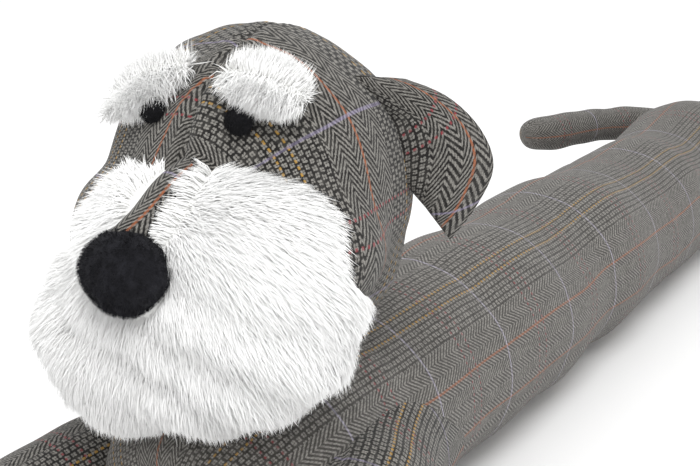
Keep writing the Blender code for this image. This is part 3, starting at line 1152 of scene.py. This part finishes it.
@dataclass
class Beard:
    """The deep plush pad around the snout.

    Args:
        middle: its middle, from the head's middle.
        radii: half sizes forward, left and up.
        roll: turn about the forward axis, in degrees.
        top_power, low_power: powers of the super-ellipsoid, above and below its middle.
        lump: height of the filling's lumps.
        pile_deep: depth of the pile over the backing.
        far_pull, low_pull, back_pull: how far the parts on the dog's right, below and
            behind are drawn in.
        edge_left, edge_up: places left, and how far up the pile reaches at each.
        hidden: places rearward between which that edge rises, hidden by the cheek.
        hidden_rise: how far it rises there.
        bare_strip: places left of the strip's line between which no pile grows.
        bare_low: how far down that bare strip reaches.
        bare_nose: middle and radii of the bare place under the nose.
        lap: places left of the strip's line between which the lapping tufts grow.
        lap_front, lap_low: how far back and how far down they reach.
        head_sink: how far under the head's surface pile may start.
    """

    middle: tuple = (0.049, -0.002, -0.0395)
    radii: tuple = (0.060, 0.085, 0.070)
    roll: float = 8.0
    top_power: float = 2.15
    low_power: float = 2.5
    lump: float = 0.0022
    pile_deep: float = 0.0062
    far_pull: float = 0.0132
    low_pull: float = 0.0062
    back_pull: float = 0.0160
    edge_left: tuple = (-0.090, -0.070, -0.060, -0.051, -0.045, -0.030, -0.020, -0.010)
    edge_up: tuple = (-0.030, -0.027, -0.023, -0.013, 0.000, 0.015, 0.026, 0.090)
    hidden: tuple = (-0.064, -0.046)
    hidden_rise: float = 0.030
    bare_strip: tuple = (-0.0080, 0.0125)
    bare_low: float = -0.012
    bare_nose: tuple = ((0.104, 0.0, -0.016), (0.020, 0.0165, 0.0155))
    lap: tuple = (0.0125, 0.0170)
    lap_front: float = 0.064
    lap_low: float = -0.004
    head_sink: float = 0.001

    def reach(self, ways: Array) -> Array:
        """Rounded block: the power of its super-ellipsoid rises below its middle.

        The far, low and rear parts are drawn in by their shares, and the chin on the dog's
        right stands out a little.
        """
        drop = 0.5 - 0.5 * np.tanh(4.0 * ways[..., 2])
        power = self.top_power + (self.low_power - self.top_power) * drop
        ball = np.sum(np.abs(ways / self.radii) ** power[..., None], axis=-1) ** (-1.0 / power)
        side, up = ways[..., 1], ways[..., 2]
        waves = np.sin(9.0 * side + 5.0 * up + 1.0) * np.sin(8.0 * up - 4.0 * ways[..., 0] + 0.5)
        far = smooth_step(-side, 0.30, 0.80) * np.exp(-((up - 0.48) / 0.38) ** 2)
        front = smooth_step(ways[..., 0], -0.10, 0.30)
        low = smooth_step(-up, -0.15, 0.45) * (1.0 - smooth_step(-side, -0.10, 0.75) * front)
        chin = smooth_step(-side, 0.10, 0.80) * smooth_step(-up, -0.35, 0.45)
        low = low - 0.4 * front * chin
        back = smooth_step(-ways[..., 0], -0.20, 0.55) * smooth_step(-side, 0.15, 0.70)
        pulled = self.far_pull * far + self.low_pull * low + self.back_pull * back
        return ball + self.lump * waves - self.pile_deep - pulled

    def form(self) -> Ball:
        """The backing of the pile."""
        turn = math.radians(self.roll)
        axes = np.array(((1.0, 0.0, 0.0), (0.0, math.cos(turn), math.sin(turn)),
                         (0.0, -math.sin(turn), math.cos(turn))))
        return Ball(np.array(self.middle), self.reach, axes)

    def flow(self, points: Array, normals: Array) -> Array:
        """Comb the pile away from the nose and downwards."""
        away = unit(points - np.array((0.085, 0.0, 0.010)))
        return comb_of(normals, away + np.array((0.0, 0.0, -0.35)))

    def carries_pile(self, points: Array, head: Ball) -> Array:
        """Which places carry pile: off the head, under the edge, clear of strip and nose."""
        aside = from_strip(points)
        on_strip = (aside > self.bare_strip[0]) & (aside < self.bare_strip[1])
        on_strip = on_strip & (points[..., 2] > self.bare_low)
        rise = self.hidden_rise * smooth_step(-points[..., 0], *self.hidden)
        edge = np.interp(points[..., 1], self.edge_left, self.edge_up) + rise
        middle, radii = self.bare_nose
        off_nose = np.linalg.norm((points - middle) / radii, axis=-1) > 1.0
        off_head = head.depth(points) > -self.head_sink
        return off_head & ~on_strip & off_nose & (points[..., 2] < edge)

    def carries_tufts(self, points: Array, head: Ball) -> Array:
        """Which places carry the tufts that lap over the strip from the dog's left."""
        aside = from_strip(points)
        return ((aside > self.lap[0]) & (aside < self.lap[1])
                & (points[..., 0] > self.lap_front) & (points[..., 2] > self.lap_low)
                & (head.depth(points) > -self.head_sink))

    def build(self, head: Ball, finishes: Finishes) -> list[bpy.types.Object]:
        """Make the backing, the pile in four quarters and the lapping tufts."""
        form = self.form()
        backing = form.skin("beard_backing", 72, 100, finishes.backing)
        pieces = [report(backing, ("beard",))]
        quarters = ((Side.LEFT, 1.0), (Side.RIGHT, 1.0), (Side.LEFT, -1.0), (Side.RIGHT, -1.0))
        for number, (side, upper) in enumerate(quarters):

            def keep(points: Array, side: Side = side, upper: float = upper) -> Array:
                local = (points - form.place) @ form.axes.T
                inside = (local[..., 1] * side.value >= 0.0) & (local[..., 2] * upper >= 0.0)
                return inside & self.carries_pile(points, head)

            word = "upper" if upper > 0.0 else "lower"
            pile = Locks("beard_pile_%s_%s" % (word, side.word), locks=3900, blades=17,
                         length=0.0120, width=0.00052, spread=0.0034, gather=0.24, rise=0.16,
                         seed=61 + number, mess=0.12, roll=0.07)
            pieces.append(report(pile.build(form, self.flow, keep, finishes.plush)))
        tufts = Locks("beard_tufts", locks=150, blades=30, length=0.0120, width=0.00055,
                      spread=0.0016, gather=0.60, rise=0.34, seed=67, mess=0.26, roll=0.20,
                      tries=90)
        over_strip = np.array((0.45, -1.0, 0.1))
        lapped = tufts.build(form, lambda points, normals: comb_of(normals, over_strip),
                             lambda points: self.carries_tufts(points, head), finishes.plush)
        pieces.append(report(lapped))
        return pieces


@dataclass
class Nose:
    """The rounded fleece nose with a tuck under its middle.

    Args:
        place: its middle, from the head's middle.
        radii: half sizes forward, left and up.
        nap_front: place forward beyond which it carries nap.
    """

    place: tuple = (0.106, 0.0, -0.0140)
    radii: tuple = (0.0165, 0.0215, 0.0195)
    nap_front: float = 0.088

    def reach(self, ways: Array) -> Array:
        """Rounded pad, narrower below, with a tuck at the bottom of its face."""
        ball = far_side(ways, (0.0, 0.0, 0.0), self.radii)
        under = np.clip(-ways[..., 2], 0.0, 1.0)
        narrow = 1.0 - 0.28 * under * np.abs(ways[..., 1])
        tuck = np.exp(-(ways[..., 1] / 0.13) ** 2) * under
        return ball * narrow * (1.0 - 0.15 * tuck) - 0.0004

    def build(self, finishes: Finishes) -> list[bpy.types.Object]:
        """Make the pad and its nap."""
        form = Ball(np.array(self.place), self.reach)
        pad = form.skin("nose_pad", 80, 96, finishes.fleece,
                        lambda ways: lumps(ways * 0.02, (260.0, 0.00018, 71)))
        nap = Locks("nose_nap", locks=3600, blades=4, length=0.0019, width=0.00016,
                    spread=0.0006, gather=0.2, rise=0.75, seed=72)
        fluff = nap.build(form, lambda points, normals: normals * 0.2 + (0.0, 0.0, -0.4),
                          lambda points: points[..., 0] > self.nap_front, finishes.fleece,
                          sink=0.0004)
        return [report(pad, ("nose",)), report(fluff)]


@dataclass
class Eyes:
    """The two felt eyes.

    Args:
        place: middle of the left eye, from the head's middle.
        radius: half width and half height.
        thick: half thickness.
        nap_front: place forward beyond which an eye carries nap.
    """

    place: tuple = (0.052, 0.023, 0.0445)
    radius: float = 0.0064
    thick: float = 0.0052
    nap_front: float = 0.045

    def reach(self, ways: Array) -> Array:
        """Flattened ball."""
        return far_side(ways, (0.0, 0.0, 0.0), (self.thick, self.radius, self.radius))

    def build(self, side: Side, finishes: Finishes) -> list[bpy.types.Object]:
        """Make one eye and its fluff."""
        form = Ball(np.array(self.place) * (1.0, side.value, 1.0), self.reach)
        name = "eye_%s" % side.word
        dot = form.skin(name + "_felt", 40, 56, finishes.felt,
                        lambda ways: lumps(ways * 0.01, (420.0, 0.0003, 81)))
        nap = Locks(name + "_fluff", locks=1000, blades=4, length=0.0014, width=0.00014,
                    spread=0.0007, gather=0.1, rise=0.6, seed=82)
        fluff = nap.build(form, lambda points, normals: normals * 0.3 + (0.0, 0.1, -0.3),
                          lambda points: points[..., 0] > self.nap_front, finishes.felt,
                          sink=0.0004)
        return [report(dot, (name,)), report(fluff)]


@dataclass
class Brows:
    """The two plush brows, strips of long pile that part along their middle.

    Args:
        ends: inner and outer end of each brow, from the head's middle.
        half_long: half length of each brow.
        half_thick, half_wide: half thickness and half width of a brow's backing.
        fan: how much the pile fans out for each metre along the brow.
        front: place forward beyond which a brow carries pile.
    """

    ends: dict = field(default_factory=lambda: {
        Side.LEFT: ((0.047, 0.007, 0.0650), (0.038, 0.054, 0.0535)),
        Side.RIGHT: ((0.042, -0.004, 0.068), (0.049, -0.056, 0.038))})
    half_long: dict = field(default_factory=lambda: {Side.LEFT: 0.0175, Side.RIGHT: 0.0235})
    half_thick: float = 0.0045
    half_wide: float = 0.0050
    fan: float = 26.0
    front: float = 0.015

    def form(self, side: Side) -> Ball:
        """The backing of one brow, an oval laid along the forehead."""
        inner, outer = (np.array(end) for end in self.ends[side])
        middle = 0.5 * (inner + outer)
        along = unit(outer - inner)
        proud = unit(middle - along * (middle @ along))
        axes = np.stack((along, proud, np.cross(along, proud)))
        radii = (self.half_long[side], self.half_thick, self.half_wide)
        return Ball(middle, lambda ways: far_side(ways, (0.0, 0.0, 0.0), radii), axes)

    def build(self, side: Side, finishes: Finishes) -> list[bpy.types.Object]:
        """Make one brow."""
        form = self.form(side)
        along, proud, cross = form.axes

        def flow(points: Array, normals: Array) -> Array:
            local = (points - form.place) @ form.axes.T
            spread = (local[..., :1] * self.fan) * along + np.sign(local[..., 2:]) * cross
            return comb_of(normals, spread + proud * 0.3 + (0.0, 0.0, -0.15))

        name = "brow_%s" % side.word
        backing = form.skin(name + "_backing", 50, 64, finishes.backing)
        pile = Locks(name + "_pile", locks=1150, blades=22, length=0.0118, width=0.00046,
                     spread=0.0016, gather=0.50, rise=0.30, seed=91, mess=0.20, roll=0.08)
        locks = pile.build(form, flow, lambda points: points[..., 0] > self.front, finishes.plush)
        return [report(backing, (name,)), report(locks)]


@dataclass
class Ears:
    """The two hanging ears, thin padded flaps.

    Args:
        sections: rows of the root's place and the edge's place, for the left ear.
        thick: thickness of the padding.
        bulge: how far the flap arches outwards.
        rows: rows down the flap.
        across: columns from the root to the edge.
        cloth_wide, cloth_long: length of cloth across the flap and down it.
        cloth_slant: how far the cloth slips down towards the edge.
        rust_share: share of the way to the edge at which a rust line lies.
        lilac_down: how far down a lilac line lies.
    """

    sections: tuple = (
        (-0.010, 0.027, 0.053, -0.025, 0.063, 0.053), (-0.014, 0.038, 0.043, -0.037, 0.080, 0.043),
        (-0.019, 0.049, 0.038, -0.045, 0.092, 0.028), (-0.021, 0.054, 0.027, -0.048, 0.097, 0.011),
        (-0.023, 0.057, 0.016, -0.044, 0.091, -0.007), (-0.025, 0.060, 0.007, -0.037, 0.081, -0.024))
    thick: float = 0.0062
    bulge: float = 0.007
    rows: int = 110
    across: int = 46
    cloth_wide: float = 0.050
    cloth_long: float = 0.072
    cloth_slant: float = 0.040
    rust_share: float = 0.80
    lilac_down: float = 0.0965

    def build(self, side: Side, finish: bpy.types.Material) -> bpy.types.Object:
        """Make one ear.

        A row runs out over the face of the flap and back over its rear: the two sides
        lie thick / 2 · √sin(π · share) off the middle surface, and meet in the edge seam.
        """
        table = smooth_rows(self.sections, self.rows)
        share = 0.5 - 0.5 * np.cos(np.linspace(0.0, math.pi, self.across))
        root, edge = table[:, None, :3], table[:, None, 3:]
        out = share[None, :, None]
        arch = self.bulge * np.sin(math.pi * out) * np.array((0.7, 0.5, 0.3))
        middle = root + (edge - root) * out + arch
        normals = unit(np.cross(np.gradient(middle, axis=0), np.gradient(middle, axis=1)))
        down = np.linspace(0.0, 1.0, self.rows)[:, None]
        taper = np.minimum(smooth_step(down, -0.02, 0.10), smooth_step(1.0 - down, -0.03, 0.10))
        puff = np.sqrt(np.sin(math.pi * np.clip(share, 0.02, 0.98)))[None] * taper
        half = 0.5 * self.thick * puff + 0.0004
        half = half + lumps(middle, (30.0, 0.0004, 101)) * puff
        front = middle + normals * half[..., None]
        rear = middle - normals * half[..., None]
        rings = np.concatenate((front, rear[:, ::-1]), axis=1) * (1.0, side.value, 1.0)
        place = np.concatenate((share, share[::-1], share[:1]))
        over = ((place - self.rust_share) * self.cloth_wide)[None]
        along = down * self.cloth_long + place[None] * self.cloth_slant - self.lilac_down
        cloth = np.stack(np.broadcast_arrays(over, along), axis=-1)
        name = "ear_%s" % side.word
        piece = wrapped_piece(name + "_flap", from_head(rings), cloth, finish)
        return report(piece, (name,))


@dataclass
class Studio:
    """Pale floor, soft light and the photograph's camera.

    Args:
        eye: the camera's place.
        heading: turn of its view from +X, in degrees.
        dip: how far it looks down, in degrees.
        focal_share: focal length over the width of the sensor.
        sensor: width of the sensor, in millimetres.
        floor_half: half width of the floor.
        floor_drop: how far the floor lies under Z = 0.
        daylight: strength of the light from all round.
    """

    eye: tuple = (-0.89144, -0.40109, 0.39972)
    heading: float = 30.0
    dip: float = 17.0
    focal_share: float = 1600.0 / 700.0
    sensor: float = 36.0
    floor_half: float = 6.0
    floor_drop: float = 0.0005
    daylight: float = 0.92

    def camera(self) -> None:
        """Aim the camera as the photograph was."""
        turn, dip = math.radians(self.heading), math.radians(self.dip)
        level = math.cos(dip)
        ahead = Vector((math.cos(turn) * level, math.sin(turn) * level, -math.sin(dip)))
        right = Vector((math.sin(turn), -math.cos(turn), 0.0))
        above = right.cross(ahead)
        data = bpy.data.cameras.new("photo_camera")
        data.sensor_width = self.sensor
        data.lens = self.sensor * self.focal_share
        data.clip_end = 50.0
        camera = bpy.data.objects.new("photo_camera", data)
        bpy.context.scene.collection.objects.link(camera)
        turned = Matrix((right, above, -ahead)).transposed().to_4x4()
        camera.matrix_world = Matrix.Translation(self.eye) @ turned
        bpy.context.scene.camera = camera

    def lamp(self, name: str, place: tuple, target: tuple, size: float, power: float) -> None:
        """Hang one large soft lamp."""
        data = bpy.data.lights.new(name, "AREA")
        data.shape = "DISK"
        data.size = size
        data.energy = power
        lamp = bpy.data.objects.new(name, data)
        bpy.context.scene.collection.objects.link(lamp)
        lamp.location = place
        lamp.rotation_euler = (Vector(target) - Vector(place)).to_track_quat("-Z", "Y").to_euler()

    def build(self) -> None:
        """Make the floor, the light and the camera."""
        shade = Shader("pale_floor", roughness=0.9)
        shade.surface.inputs["Base Color"].default_value = (0.97, 0.97, 0.97, 1.0)
        signs = np.array(((-1.0, -1.0, 0.0), (1.0, -1.0, 0.0), (1.0, 1.0, 0.0), (-1.0, 1.0, 0.0)))
        corners = signs * self.floor_half - (0.0, 0.0, self.floor_drop)
        floor = put_in_scene("studio_floor", corners, [(0, 1, 2, 3)], shade.material)
        world = bpy.data.worlds.new("soft_white")
        bpy.context.scene.world = world
        world.use_nodes = True
        ground = world.node_tree.nodes["Background"]
        ground.inputs["Color"].default_value = (1.0, 1.0, 1.0, 1.0)
        ground.inputs["Strength"].default_value = self.daylight
        self.lamp("key_lamp", (-1.1, -0.8, 2.0), (-0.15, 0.0, 0.08), size=1.2, power=26.0)
        self.lamp("fill_lamp", (0.4, 1.7, 1.5), (0.0, 0.0, 0.08), size=1.4, power=5.0)
        bpy.context.scene.view_settings.view_transform = "Standard"
        self.camera()


def main() -> None:
    """Build every piece in order."""
    logging.basicConfig(level=logging.INFO, format="%(name)s %(message)s")
    finishes = Finishes.make()
    Body().build(finishes.body_tweed)
    head = Head()
    head.build(finishes.near_tweed)
    Bridge().build(finishes.near_tweed)
    Beard().build(head.form(), finishes)
    Nose().build(finishes)
    Tail().build(finishes.body_tweed)
    for side in Side:
        # The forelegs take the darker copy of the tweed as painted shade under the beard.
        Forelegs().build(side, finishes.near_tweed)
        Ears().build(side, finishes.near_tweed)
        Eyes().build(side, finishes)
        Brows().build(side, finishes)
    Studio().build()


if __name__ == "__main__":
    main()
